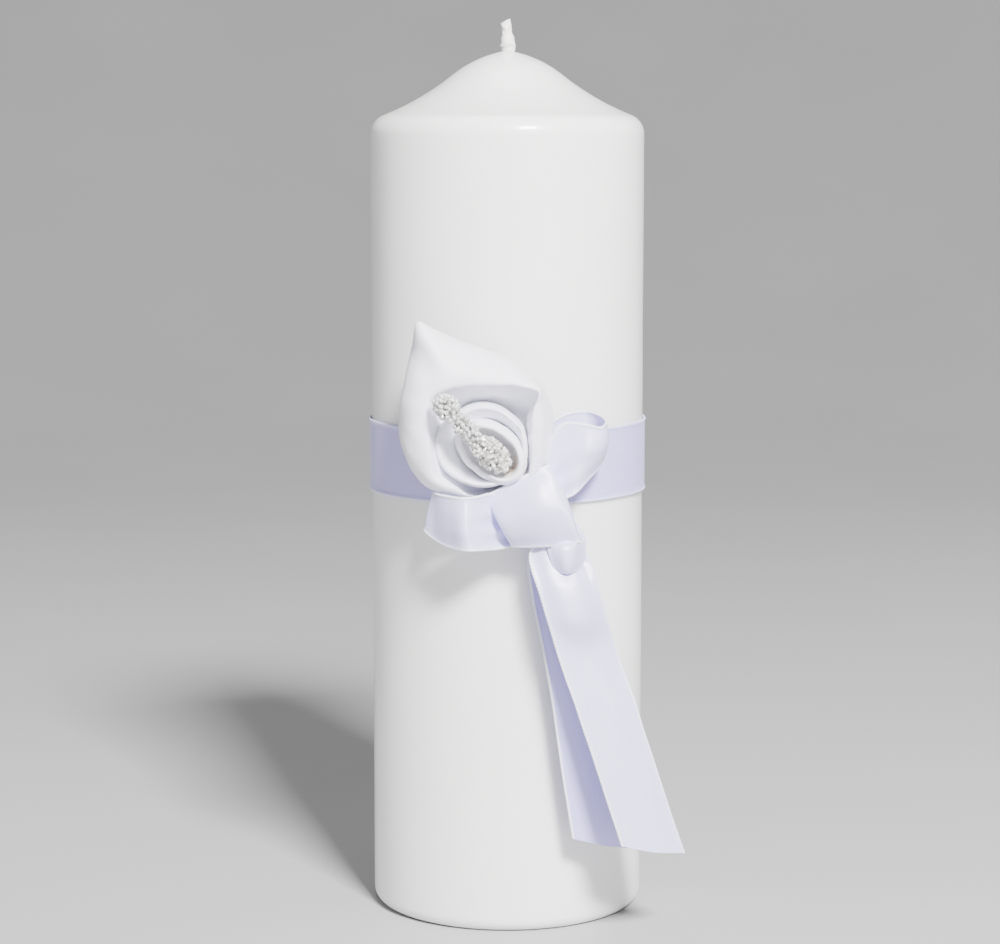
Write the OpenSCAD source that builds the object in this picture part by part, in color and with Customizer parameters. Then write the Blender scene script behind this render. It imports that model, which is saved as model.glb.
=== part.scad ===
// Unity candle: an overdipped white pillar with a satin ribbon wrap, a bow,
// two ribbon tails and a satin calla flower with a beaded spadix.
// Origin at the centre of the flat base, +Z up, the bow faces -Y.
// Millimetres and degrees.

/* [Candle] */
// Diameter of the pillar
candle_d = 73; // [68:0.5:78]
// Height of the straight wall, from the base to the start of the shoulder
wall_h = 208.7; // [190:0.1:230]
// Radius of the rounded shoulder
shoulder_r = 5.5; // [4:0.1:7]
// Radius of the rounded bottom edge
base_r = 3.5; // [2.5:0.1:4.5]
// Thickness of the hard outer coat of wax
coat_t = 1.6; // [1.2:0.1:2]
// Thickness of the coat under the base
coat_base_t = 1.2; // [1:0.1:1.5]

/* [Top of the wax] */
// Slope of the hollow flank where it leaves the shoulder
flank_low = 21.5; // [18:0.5:25]
// Slope of the hollow flank where it meets the crown
flank_high = 38.5; // [35:0.5:42]
// Radius of the hollow flank
flank_r = 71.5; // [66:0.5:76]
// Slope of the crown beside the wick
crown_end = 14; // [10:0.5:18]
// Radius of the rounded crown
crown_r = 31; // [29:0.5:33]

/* [Wick] */
// Diameter of the braided wick
wick_d = 2.6; // [2.2:0.1:3]
// Length of wick above its bending point
wick_out = 7.3; // [5:0.1:12]
// Lean of the exposed wick towards -X
wick_lean = 5; // [0:1:10]
// Diameter of the wick's metal foot
clip_d = 20; // [16:1:28]

/* [Ribbon] */
// Width of the satin ribbon
ribbon_w = 19; // [16:0.5:22]
// Thickness of the ribbon
ribbon_t = 0.5; // [0.4:0.05:0.6]
// Gap between the wax and the ribbon band
band_gap = 0.35; // [0.3:0.05:0.6]
// Height of the band's lower edge above the base
band_z = 114; // [105:0.5:120]
// Angle of the band's lap at the back
lap_angle = 36; // [24:1:44]

/* [Bow] */
// Length of the right loop
loop_right_len = 20.5; // [17:0.5:22]
// Length of the left loop
loop_left_len = 22; // [18:0.5:23]
// Width of the gathered left loop
loop_left_w = 15; // [12:0.5:15.5]
// Depth of the loops from front to back
loop_depth = 6; // [4:0.5:6.5]
// Height of the wrap over the middle of the bow
wrap_h = 18; // [15:0.5:19]
// Turn of the wrap in its own plane
wrap_turn = 25; // [20:1:30]

/* [Tails] */
// Length of the front tail below its hinge line
tail_front_len = 77.5; // [60:0.5:82]
// Length of the rear tail below its hinge line
tail_rear_len = 71; // [60:0.5:76]
// Rise of the slanted cut from the long edge to the short one
tail_cut = 8; // [0:0.5:10]

/* [Flower] */
// Radius of the open spathe
flower_r = 19.8; // [18:0.1:20]
// Length of the pointed tip beyond that radius
tip_len = 11.8; // [6:0.1:12]
// Direction of the tip, counted from +X towards +Z
tip_dir = 120; // [110:1:130]
// Thickness of a satin petal
petal_t = 0.6; // [0.5:0.05:0.7]
// Diameter of one bead
bead_d = 1.75; // [1.5:0.05:1.8]

/* [Hidden] */
$fn = 96;

// Candle
R = candle_d / 2;
fit = 0.05;
wick_r = wick_d / 2;
shoulder_end = [R - shoulder_r, wall_h] + shoulder_r * [sin(flank_low), cos(flank_low)];
flank_end = shoulder_end + flank_r * [sin(flank_low) - sin(flank_high),
                                      cos(flank_low) - cos(flank_high)];
crown_edge = flank_end + crown_r * [sin(crown_end) - sin(flank_high),
                                    cos(crown_end) - cos(flank_high)];
collar_r = wick_r + 0.45;
collar_z = crown_edge[1] + 1.4;
wick_pivot_z = collar_z + 0.7;
clip_t = 0.4;
clip_neck_h = 7;

// Ribbon band and what is stacked on it in front, as distances towards -Y
band_in = R + band_gap;
band_out = band_in + ribbon_t;
tape_t = 0.25;
stem_y = -39.2;
core_y = -42.3;
core_t = 2.2;
wrap_y = -48.4;
wrap_bulge = 2.8;

// Places of the bow and its tails
wrap_at = [5.8, wrap_y, 114.2];
loop_right_at = [8, -45.4, 125.2];
loop_left_at = [1.5, -45.5, 111.6];
front_hinge = [14.9, -45.7, 96.5];
rear_hinge = [13.7, -38.8, 96.5];
front_turn = [33, -2, 19.2];
rear_turn = [35, -1, 11.8];
root_h = 8;
hinge_gap = 0.35;

// Flower
flower_at = [-7.4, 0, 135.1];
throat = [7.6, 0, -6.6];
tip_sharp = 12.5;
throat_at = flower_at + throat;
calyx_r = 3.4;
stem_end = [7, stem_y, 106];
// The flower is pressed flat where it lies behind the bow: [direction, distance] of each side
tucks = [[297, 13.6], [270, 13.8]];
tuck_roll = 1.6;
petal_step = 1.6;

// ---- profiles of the wax, all as [radius, height] ----

// Points of an arc along the top of the wax, moved inwards by inset.
// a0 and a1 are slopes, so a slope of 90 is the vertical wall.
function bend(start, r, a0, a1, inset, steps) =
    [for (i = [0 : steps])
        let (a = a0 + (a1 - a0) * i / steps,
             turn = a1 > a0 ? 1 : -1)
        start + turn * r * [sin(a0) - sin(a), cos(a0) - cos(a)] - inset * [sin(a), cos(a)]];

function top_of_wax(inset) = concat(
    bend([R, wall_h], shoulder_r, 90, flank_low, inset, 7),
    bend(shoulder_end, flank_r, flank_low, flank_high, inset, 6),
    bend(flank_end, crown_r, flank_high, crown_end, inset, 6));

function bottom_edge(inset, z0) =
    [for (i = [0 : 5])
        let (a = 90 * i / 5, r = base_r - inset)
        [R - base_r + r * sin(a), z0 + r - r * cos(a)]];

module overdip_coat() {
    color("whitesmoke")
    difference() {
        rotate_extrude()
            polygon(concat([[0, 0]], bottom_edge(0, 0), top_of_wax(0),
                           [[wick_r + 1.1, crown_edge[1] + 0.5], [collar_r, collar_z], [0, collar_z]]));
        rotate_extrude()
            polygon(concat([[0, coat_base_t]], bottom_edge(coat_t, coat_base_t), top_of_wax(coat_t),
                           [[0, crown_edge[1] - coat_t]]));
        cylinder(h = collar_z + 1, r = wick_r + fit);
        translate([0, 0, wick_pivot_z])
            sphere(r = wick_r + 0.25);
    }
    color("whitesmoke")
        cylinder(h = coat_base_t, r = wick_r + fit + 0.01);
}

module wax_core() {
    color("ivory")
    difference() {
        rotate_extrude()
            polygon(concat([[0, coat_base_t + fit]], bottom_edge(coat_t + fit, coat_base_t + fit),
                           top_of_wax(coat_t + fit), [[0, crown_edge[1] - coat_t - fit]]));
        cylinder(h = collar_z, r = wick_r + fit);
        cylinder(h = coat_base_t + fit + clip_t + fit, r = clip_d / 2 + fit);
        cylinder(h = coat_base_t + clip_t + clip_neck_h + fit, r = wick_r + 0.55 + fit);
    }
}

module wick_core() {
    color("white")
    translate([0, 0, coat_base_t + fit + clip_t + fit])
        cylinder(h = wick_pivot_z - wick_r - 0.3 - coat_base_t - 2 * fit - clip_t, r = wick_r);
}

// Tinned foot with a neck that is crimped round the wick
module wick_clip() {
    color("silver")
    translate([0, 0, coat_base_t + fit]) {
        cylinder(h = clip_t, r = clip_d / 2);
        difference() {
            cylinder(h = clip_t + clip_neck_h - fit, r = wick_r + 0.55);
            translate([0, 0, clip_t])
                cylinder(h = clip_neck_h + 1, r = wick_r + fit / 2);
        }
    }
}

module wick_tip() {
    color("white")
    translate([0, 0, wick_pivot_z])
    rotate([0, -wick_lean, 0]) {
        sphere(r = wick_r);
        cylinder(h = wick_out, r = wick_r);
    }
}

// ---- ribbon ----

// A path moved sideways by d, along the normals between its neighbours
function beside(path, d) =
    [for (i = [0 : len(path) - 1])
        let (a = path[max(i - 1, 0)],
             b = path[min(i + 1, len(path) - 1)],
             u = (b - a) / norm(b - a))
        path[i] + d * [-u[1], u[0]]];

function backwards(path) = [for (i = [len(path) - 1 : -1 : 0]) path[i]];

// A ribbon of width w that follows a plan path and stands along Z
module ribbon(path, w) {
    linear_extrude(height = w, center = true)
        polygon(concat(beside(path, ribbon_t / 2), backwards(beside(path, -ribbon_t / 2))));
}

// The same, with the path in the YZ plane and the width along X
module ribbon_yz(path, w) {
    rotate([90, 0, 90])
        ribbon(path, w);
}

// Band round the pillar, lapped over itself at the back
module ribbon_band() {
    flap_in = band_out + tape_t + 2 * fit;
    color("lavender")
    translate([0, 0, band_z]) {
        rotate_extrude()
            translate([band_in, 0])
            square([ribbon_t, ribbon_w]);
        rotate([0, 0, 90 - lap_angle / 2])
        rotate_extrude(angle = lap_angle)
            translate([flap_in, 0])
            square([ribbon_t, ribbon_w]);
        rotate([0, 0, 90 + lap_angle / 2 - 2.5])
        rotate_extrude(angle = 2)
            translate([band_in + ribbon_t / 2, 0])
            square([flap_in - band_in, ribbon_w]);
    }
}

// Double-sided tape inside the lap
module lap_tape() {
    color("lemonchiffon")
    translate([0, 0, band_z + 1])
    rotate([0, 0, 90 - lap_angle / 2])
    rotate_extrude(angle = lap_angle - 3)
        translate([band_out + fit, 0])
        square([tape_t, ribbon_w - 2]);
}

// ---- bow ----

// Outline of a loop, from the knot out to its rounded end and back
function loop_path(length, depth) =
    [for (a = [24 : 12 : 336])
        [length * (1 - cos(a)) / 2, depth * sin(a) * pow(sin(a / 2), 0.8) / 2]];

module bow_loop_right() {
    color("lavender")
    translate(loop_right_at)
    rotate([0, -27, 12])
        ribbon(loop_path(loop_right_len, loop_depth), ribbon_w);
}

module bow_loop_left() {
    color("lavender")
    translate(loop_left_at)
    rotate([0, 0, 180 + 4])
    rotate([8, 3, 0])
        ribbon(loop_path(loop_left_len, loop_depth), loop_left_w);
}

// Wrap that covers the middle of the bow, arched from top to bottom
module knot_wrap() {
    arch = [for (a = [-80 : 10 : 80]) [-wrap_bulge * cos(a), wrap_h / 2 * sin(a)]];
    color("lavender")
    translate(wrap_at)
    rotate([0, -wrap_turn, 0])
        ribbon_yz(arch, ribbon_w);
}

// Folded ribbon behind the wrap, between the two loops
module knot_core() {
    color("lavender")
    translate([6, core_y, 112.5])
    for (fold = [-1 : 1])
        translate([0, fold * core_t / 3, 0])
            cube([12, core_t / 3 - fit, 14], center = true);
}

// End of the wrap, rolled under its lower right corner
module knot_tuck() {
    roll = [for (a = [-150 : 15 : 60]) [-2.4 * cos(a), 2.6 * sin(a)]];
    color("lavender")
    translate([15.3, -50, 103])
    rotate([0, -12, 20])
        ribbon_yz(roll, 7);
}

// Wire that ties the folds of the knot
module binding_wire() {
    color("gainsboro")
    translate([4.9, core_y, 112.5])
    rotate([90, 0, 90])
    linear_extrude(height = 0.5)
    difference() {
        square([core_t + 1.8, 16], center = true);
        square([core_t + 0.8, 15], center = true);
    }
}

// Hot glue between the band and the knot
module glue_band() {
    color("beige")
    difference() {
        translate([10.4, core_y + core_t / 2 + fit, 116.8])
        rotate([-90, 0, 0])
            cylinder(h = 6, r = 2.4);
        cylinder(h = band_z + ribbon_w + 1, r = band_out + fit / 2);
    }
}

// Hot glue between the band and the back of the flower
module glue_flower() {
    color("beige")
    difference() {
        translate([-7, -41.8, 129])
        rotate([-90, 0, 0])
            cylinder(h = 7, r = 2);
        cylinder(h = band_z + ribbon_w + 1, r = band_out + fit / 2);
    }
}

// ---- tails ----

// Moves a tail from its own frame, hinge line along X and length along -Z, to its place.
// turn is [yaw, lean away from the wax, slant].
module hang(at, turn) {
    translate(at)
    rotate([0, 0, turn[0]])
    rotate([turn[1], 0, 0])
    rotate([0, -turn[2], 0])
        children();
}

// A tail that bows out by bulge on its way down, with a slanted cut at its end
module tail(length, bulge) {
    side = [for (i = [0 : 16])
        let (s = i / 16)
        [-bulge * sin(180 * s) - bulge * 0.5 * pow(s, 3), -(length + tail_cut / 2) * s]];
    difference() {
        ribbon_yz(side, ribbon_w);
        translate([0, 0, -length])
        rotate([0, atan(tail_cut / ribbon_w), 0])
        translate([-50, -50, -50])
            cube([100, 100, 50]);
    }
}

module tail_front() {
    color("ghostwhite")
    hang(front_hinge, front_turn)
        tail(tail_front_len, 2);
}

module tail_rear() {
    color("lavender")
    hang(rear_hinge, rear_turn)
        tail(tail_rear_len, 1);
}

// Short fixed stretch of a tail, from the knot down to the hinge line
module tail_root(at, turn, h) {
    color("lavender")
    hang(at, turn)
    translate([-ribbon_w / 2, -ribbon_t / 2, hinge_gap])
        cube([ribbon_w, ribbon_t, h]);
}

module tail_root_front() {
    tail_root(front_hinge, front_turn, root_h);
}

module tail_root_rear() {
    tail_root(rear_hinge, rear_turn, root_h - 2);
}

// ---- flower ----

// Smallest angle between two directions
function apart(a, b) = abs((a - b + 540) % 360 - 180);

// Pushes a point back to the near side of each tuck, so a petal lies flat behind the bow
function tucked(p, inset, i = 0) =
    i == len(tucks) ? p :
    let (d = tucks[i],
         n = [cos(d[0]), 0, sin(d[0])],
         over = max(0, p * n - d[1] + inset))
    tucked(p - over * n, inset, i + 1);

// Radius of each petal's edge in direction a
function from_tip(a) = sqrt(pow(apart(a, tip_dir), 2) + 16) - 4;
function spathe_edge(a) = flower_r + tip_len * exp(-from_tip(a) / tip_sharp);
function middle_edge(a) = 11.3 + 0.5 * cos(2 * (a + 30));
function inner_edge(a) = 11.4 * 6.8 / sqrt(pow(6.8 * cos(a + 30), 2) + pow(11.4 * sin(a + 30), 2));

// Each petal is a list of rings from the throat to the edge:
// [share of the edge radius, least radius, how far towards -Y, share of the way to the petal's centre]
spathe_rings = [[0.10, 3.4, 41.3, 0], [0.24, 4.2, 42.6, 0.25], [0.42, 6, 45, 0.6], [0.58, 8, 48, 0.85],
                [0.69, 9, 51.2, 1], [0.77, 9, 53, 1], [0.87, 9, 53.6, 1], [0.95, 9, 52.8, 1],
                [1, 9, 51, 1]];
middle_rings = [[0.10, 1.6, 43.4, 0], [0.30, 2.6, 45.7, 0.3], [0.56, 4, 48.2, 0.7], [0.80, 5, 50.5, 0.95],
                [0.94, 5, 52, 1]];
inner_rings = [[0.10, 1.2, 45.6, 0.15], [0.28, 1.8, 47.6, 0.38], [0.54, 2.6, 49.8, 0.78], [0.78, 3.6, 51.6, 0.95],
               [0.92, 3.6, 53, 1]];

// One point of a petal relative to the flower's centre: ring r may fall between two rings
function edge_radius(kind, a) =
    kind == 0 ? spathe_edge(a) : kind == 1 ? middle_edge(a) : inner_edge(a);
function petal_rings(kind) = kind == 0 ? spathe_rings : kind == 1 ? middle_rings : inner_rings;
function petal_centre(kind) = kind == 0 ? [0, 0, 0] : kind == 1 ? [1, 0, -3.4] : [1.3, 0, -5.2];
// The tip curls back towards the wax
function curl(kind, a, share) =
    kind == 0 ? 5 * exp(-from_tip(a) / 20) * pow(share, 3) : 0;
function petal_point(kind, ring, a, inset) =
    let (rings = petal_rings(kind),
         j = min(floor(max(ring, 0)), len(rings) - 2),
         s = rings[j] + (rings[j + 1] - rings[j]) * (ring - j),
         centre = throat + (petal_centre(kind) - throat) * s[3],
         r = max(s[1], s[0] * edge_radius(kind, a)),
         roll = kind == 0 ? tuck_roll * max(0, s[0] - 0.8) / 0.2 : 0)
    tucked(centre + [r * cos(a), -s[2] + curl(kind, a, s[0]), r * sin(a)], inset - roll);

function petal_normal(kind, ring, a, inset) =
    let (u = petal_point(kind, ring, a + 2, inset) - petal_point(kind, ring, a - 2, inset),
         v = petal_point(kind, ring + 0.05, a, inset) - petal_point(kind, ring - 0.05, a, inset),
         n = cross(v, u))
    n / norm(n);

// A petal as a thin closed shell: the back face, and the front face petal_t in front of it
module petal(kind, steps) {
    rings = len(petal_rings(kind));
    back = [for (j = [0 : rings - 1], i = [0 : steps - 1])
        petal_point(kind, j, 360 * i / steps, kind * petal_step)];
    front = [for (j = [0 : rings - 1], i = [0 : steps - 1])
        let (a = 360 * i / steps, inset = kind * petal_step)
        petal_point(kind, j, a, inset + petal_t) + petal_t * petal_normal(kind, j, a, inset)];
    n = rings * steps;
    function id(side, j, i) = side * n + j * steps + i % steps;
    faces = concat(
        [for (j = [0 : rings - 2], i = [0 : steps - 1])
            [id(0, j, i), id(0, j + 1, i), id(0, j + 1, i + 1), id(0, j, i + 1)]],
        [for (j = [0 : rings - 2], i = [0 : steps - 1])
            [id(1, j, i), id(1, j, i + 1), id(1, j + 1, i + 1), id(1, j + 1, i)]],
        [for (i = [0 : steps - 1])
            [id(0, 0, i), id(0, 0, i + 1), id(1, 0, i + 1), id(1, 0, i)]],
        [for (i = [0 : steps - 1])
            [id(0, rings - 1, i), id(1, rings - 1, i), id(1, rings - 1, i + 1), id(0, rings - 1, i + 1)]]);
    translate([flower_at[0], 0, flower_at[2]])
        polyhedron(concat(back, front), faces, convexity = 6);
}

module calla_spathe() {
    color("white")
        petal(0, 60);
}

module petal_middle() {
    color("white")
        petal(1, 40);
}

module petal_inner() {
    color("white")
        petal(2, 40);
}

// A straight rod between two points
module rod(a, b, r0, r1) {
    d = b - a;
    translate(a)
    rotate([0, acos(d[2] / norm(d)), atan2(d[1], d[0])])
        cylinder(h = norm(d), r1 = r0, r2 = r1);
}

stem_top = [throat_at[0], stem_y, throat_at[2]];

// Wire stem, behind the knot
module stem_wire() {
    color("darkseagreen")
        rod(stem_top, stem_end, 0.5, 0.5);
}

// Floral tape round the stem and the foot of the petals
module stem_tape() {
    color("honeydew")
    difference() {
        union() {
            translate([throat_at[0], -40.8, throat_at[2]])
            rotate([-90, 0, 0])
                cylinder(h = 3, r = calyx_r - 0.4);
            rod(stem_top, stem_end + (stem_top - stem_end) * 0.1, 1.2, 0.8);
        }
        rod(stem_top + (stem_top - stem_end) * 0.001, stem_end - (stem_top - stem_end) * 0.1, 0.52, 0.52);
        cylinder(h = band_z + ribbon_w + 1, r = band_out + fit);
    }
}

// Spadix: a wire that leaves the throat and rises over the petals, with three clumps of beads
spadix = [[throat_at[0], -41.4, throat_at[2]], [-2.6, -51.2, 129.8], [-10.4, -55.8, 135.6],
          [-18, -56.8, 142.4]];

// The wire is swept along its points as one solid
module spadix_wire() {
    sides = 10;
    last = len(spadix) - 1;
    rim = [for (i = [0 : last], k = [0 : sides - 1])
        let (d = spadix[min(i + 1, last)] - spadix[max(i - 1, 0)],
             u = cross(d, [0, 0, 1]) / norm(cross(d, [0, 0, 1])),
             v = cross(u, d) / norm(d),
             a = 360 * k / sides)
        spadix[i] + 0.35 * (cos(a) * u + sin(a) * v)];
    walls = [for (i = [0 : last - 1], k = [0 : sides - 1], half = [0, 1])
        let (p = i * sides + k,
             q = i * sides + (k + 1) % sides)
        half == 0 ? [p, q, q + sides] : [p, q + sides, p + sides]];
    caps = [for (k = [1 : sides - 2], end = [0, last])
        let (p = end * sides)
        end == 0 ? [p, p + k + 1, p + k] : [p, p + k, p + k + 1]];
    color("gainsboro")
        polyhedron(rim, concat(walls, caps), convexity = 3);
}

// Rows of beads round the line from a to b, widest in the middle
module bead_clump(a, b, rows, widest) {
    d = b - a;
    color("aliceblue")
    translate(a)
    rotate([0, acos(d[2] / norm(d)), atan2(d[1], d[0])])
    for (row = [0 : rows - 1]) {
        z = norm(d) * (row + 0.5) / rows;
        r = 1.45 + (widest - 1.45) * sin(180 * (row + 0.5) / rows);
        count = floor(180 / asin(bead_d * 1.05 / 2 / r));
        for (i = [0 : count - 1])
            rotate([0, 0, 360 * (i + 0.5 * (row % 2)) / count])
            translate([r, 0, z])
                sphere(d = bead_d, $fn = 24);
    }
}

function along(i, s) = spadix[i] + (spadix[i + 1] - spadix[i]) * s;

module bead_clump_tip() {
    bead_clump(along(2, 0.28), along(2, 1), 4, 2.6);
}

module bead_clump_middle() {
    bead_clump(along(1, 0.53), along(1, 1), 3, 1.6);
}

module bead_clump_base() {
    bead_clump(along(1, 0), along(1, 0.47), 3, 1.5);
}

overdip_coat();
wax_core();
wick_core();
wick_clip();
wick_tip();
ribbon_band();
lap_tape();
knot_core();
binding_wire();
glue_band();
glue_flower();
bow_loop_right();
bow_loop_left();
knot_wrap();
knot_tuck();
tail_root_front();
tail_root_rear();
tail_front();
tail_rear();
calla_spathe();
petal_middle();
petal_inner();
stem_wire();
stem_tape();
spadix_wire();
bead_clump_tip();
bead_clump_middle();
bead_clump_base();
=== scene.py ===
"""Unity candle: wax pillar, satin ribbon band and bow, two ribbon tails, satin calla with beads.

Shapes are written in millimetres and turned into metres where a mesh is made.
"""
import math
import random

import bpy
import numpy as np
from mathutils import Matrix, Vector, noise


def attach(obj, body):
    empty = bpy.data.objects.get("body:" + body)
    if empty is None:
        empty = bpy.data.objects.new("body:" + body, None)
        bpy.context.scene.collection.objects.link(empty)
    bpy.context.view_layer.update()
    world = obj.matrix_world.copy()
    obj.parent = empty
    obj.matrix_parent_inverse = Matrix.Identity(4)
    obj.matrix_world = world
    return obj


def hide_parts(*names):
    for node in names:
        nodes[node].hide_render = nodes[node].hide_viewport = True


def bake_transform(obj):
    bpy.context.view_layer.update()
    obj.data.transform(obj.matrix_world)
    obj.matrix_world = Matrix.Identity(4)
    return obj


MM = 0.001
UP = np.array([0.0, 0.0, 1.0])

# Pillar
PILLAR_R = 36.5
WALL_H = 208.7
BASE_R = 3.5
SHOULDER_R = 5.5
FLANK_R = 71.5
CROWN_R = 31.0
FLANK_LOW, FLANK_HIGH, CROWN_END = 21.5, 38.5, 14.0
WICK_PIVOT_Z = 232.304

# Ribbon
RIBBON_W = 19.0
SATIN_T = 0.28
SELVAGE_T = 0.62
SELVAGE_W = 0.6
PICOT_PITCH = 0.9
SELVAGE_COLUMNS = 3

# Flower: its centre, and points in its throat measured from that centre
FLOWER = np.array([-7.4, 0.0, 135.1])
THROAT = np.array([6.2, -41.5, -9.0])
# Centre of the painted shade deep in the petals' throat
THROAT_SHADE_CENTRE = np.array([7.8, -47.2, -9.6])


# Camera, fitted to the candle's outline
CAMERA_AT = (-0.00196, -0.7285, 0.2105)
CAMERA_DOWN = 7.25
CAMERA_LENS = 97.47


# ---- curves and surfaces ----

def spline(points, fractions):
    """Centripetal Catmull-Rom curve through points, read at fractions of its length."""
    p = np.array(points, float)
    if len(p) == 2:
        f = np.array(fractions)[:, None]
        return p[0] * (1 - f) + p[1] * f
    p = np.vstack([2 * p[0] - p[1], p, 2 * p[-1] - p[-2]])
    fine = []
    for i in range(1, len(p) - 2):
        p0, p1, p2, p3 = p[i - 1:i + 3]
        t1 = max(np.linalg.norm(p1 - p0), 1e-6) ** 0.5
        t2 = t1 + max(np.linalg.norm(p2 - p1), 1e-6) ** 0.5
        t3 = t2 + max(np.linalg.norm(p3 - p2), 1e-6) ** 0.5
        t = np.linspace(t1, t2, 24, endpoint=False)[:, None]
        a1 = p0 * (t1 - t) / t1 + p1 * t / t1
        a2 = p1 * (t2 - t) / (t2 - t1) + p2 * (t - t1) / (t2 - t1)
        a3 = p2 * (t3 - t) / (t3 - t2) + p3 * (t - t2) / (t3 - t2)
        b1 = a1 * (t2 - t) / t2 + a2 * t / t2
        b2 = a2 * (t3 - t) / (t3 - t1) + a3 * (t - t1) / (t3 - t1)
        fine.append(b1 * (t2 - t) / (t2 - t1) + b2 * (t - t1) / (t2 - t1))
    fine = np.vstack(fine + [p[-2][None]])
    run = np.concatenate([[0], np.cumsum(np.linalg.norm(np.diff(fine, axis=0), axis=1))])
    at = np.array(fractions) * run[-1]
    return np.stack([np.interp(at, run, fine[:, k]) for k in range(3)], axis=1)


def net(rows, along, across):
    """Surface through rows of control points: along and across are the fractions it is read at."""
    lines = np.array([spline(row, across) for row in rows])
    return np.stack([spline(lines[:, j], along) for j in range(lines.shape[1])], axis=1)


def normals(grid, closed=False):
    """Unit normals of a grid of points."""
    du = np.gradient(grid, axis=0)
    if closed:
        dv = (np.roll(grid, -1, axis=1) - np.roll(grid, 1, axis=1)) / 2
    else:
        dv = np.gradient(grid, axis=1)
    n = np.cross(du, dv)
    return n / np.maximum(np.linalg.norm(n, axis=2, keepdims=True), 1e-9)


def rumple(grid, height, scale, seed):
    """Moves a grid along its normals by smooth noise."""
    lift = np.array([[noise.noise(Vector((p / scale).tolist()) + Vector((seed, 0, 0))) for p in row]
                     for row in grid])
    return grid + normals(grid) * (height * lift)[:, :, None]


# ---- meshes ----

def new_object(name, verts, faces, material, uvs=None):
    """A smooth-shaded mesh from millimetres. uvs holds one pair for each vertex, in millimetres."""
    mesh = bpy.data.meshes.new(name)
    mesh.from_pydata([tuple(v) for v in (np.array(verts) * MM).tolist()], [], faces)
    mesh.update()
    if uvs is not None:
        layer = mesh.uv_layers.new(name="weave")
        loops = np.zeros(len(mesh.loops), np.int32)
        mesh.loops.foreach_get("vertex_index", loops)
        layer.data.foreach_set("uv", np.array(uvs, np.float32)[loops].ravel())
    mesh.shade_smooth()
    mesh.materials.append(material)
    obj = bpy.data.objects.new(name, mesh)
    bpy.context.scene.collection.objects.link(obj)
    return obj


def shell(front, back, closed=False):
    """Vertices and faces of a closed shell between two grids. closed: the columns run all the way round."""
    n, m = front.shape[:2]
    verts = np.vstack([front.reshape(-1, 3), back.reshape(-1, 3)])
    faces = []
    wide = m if closed else m - 1

    def at(side, i, j):
        return side * n * m + i * m + j % m

    for i in range(n - 1):
        for j in range(wide):
            faces.append((at(0, i, j), at(0, i, j + 1), at(0, i + 1, j + 1), at(0, i + 1, j)))
            faces.append((at(1, i, j), at(1, i + 1, j), at(1, i + 1, j + 1), at(1, i, j + 1)))
    for j in range(wide):
        faces.append((at(0, 0, j), at(1, 0, j), at(1, 0, j + 1), at(0, 0, j + 1)))
        faces.append((at(0, n - 1, j), at(0, n - 1, j + 1), at(1, n - 1, j + 1), at(1, n - 1, j)))
    if not closed:
        for i in range(n - 1):
            faces.append((at(0, i, 0), at(0, i + 1, 0), at(1, i + 1, 0), at(1, i, 0)))
            faces.append((at(0, i, m - 1), at(1, i, m - 1), at(1, i + 1, m - 1), at(0, i + 1, m - 1)))
    return verts, faces


def ring_faces(rings, sides, first=0):
    """Faces between stacked rings of vertices, from the vertex numbered first."""
    faces = []
    for low in range(first, first + (rings - 1) * sides, sides):
        for k in range(sides):
            beside = (k + 1) % sides
            faces.append((low + k, low + beside, low + sides + beside, low + sides + k))
    return faces


def circle(radius, sides, z=0.0):
    """Points round the Z axis, starting at +X."""
    angles = [2 * math.pi * k / sides for k in range(sides)]
    return [(radius * math.cos(a), radius * math.sin(a), z) for a in angles]


def weave_uv(grid):
    """Distances across and along a grid, for the weave."""
    across = np.concatenate([np.zeros((grid.shape[0], 1)),
                             np.cumsum(np.linalg.norm(np.diff(grid, axis=1), axis=2), axis=1)], axis=1)
    along = np.concatenate([np.zeros((1, grid.shape[1])),
                            np.cumsum(np.linalg.norm(np.diff(grid, axis=0), axis=2), axis=0)], axis=0)
    return np.stack([across, along], axis=2).reshape(-1, 2)


def across_fractions(width, middle=22):
    """Columns of a ribbon: close together at the selvages, even between them."""
    edge = np.array([0, 0.3, 0.65, 1.0, 1.35]) * SELVAGE_W / width
    inner = np.linspace(edge[-1], 1 - edge[-1], middle)[1:-1]
    return np.concatenate([edge, inner, (1 - edge)[::-1]])


def ribbon_shell(grid, width):
    """Front and back of a satin ribbon: thin cloth with a thicker picot selvage on both edges."""
    n = normals(grid)
    f = across_fractions(width)
    from_edge = np.minimum(f, 1 - f) * width
    run = np.concatenate([[0], np.cumsum(np.linalg.norm(np.diff(grid, axis=0), axis=2).mean(axis=1))])
    picot = 0.5 + 0.5 * np.cos(2 * math.pi * run / PICOT_PITCH)
    rim = np.clip(1 - np.abs(from_edge / SELVAGE_W - 0.5) / 0.75, 0, 1) ** 0.5
    half = SATIN_T / 2 + (SELVAGE_T - SATIN_T) / 2 * rim[None, :] * (0.55 + 0.45 * picot[:, None])
    outward = grid[:, -1] - grid[:, 0]
    outward /= np.maximum(np.linalg.norm(outward, axis=1, keepdims=True), 1e-9)
    bulge = (0.16 * picot)[:, None]
    shaped = grid.copy()
    shaped[:, 0] -= outward * bulge
    shaped[:, -1] += outward * bulge
    half[:, 0] *= 0.35
    half[:, -1] *= 0.35
    half = half[:, :, None]
    return shaped + n * half, shaped - n * half


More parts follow.
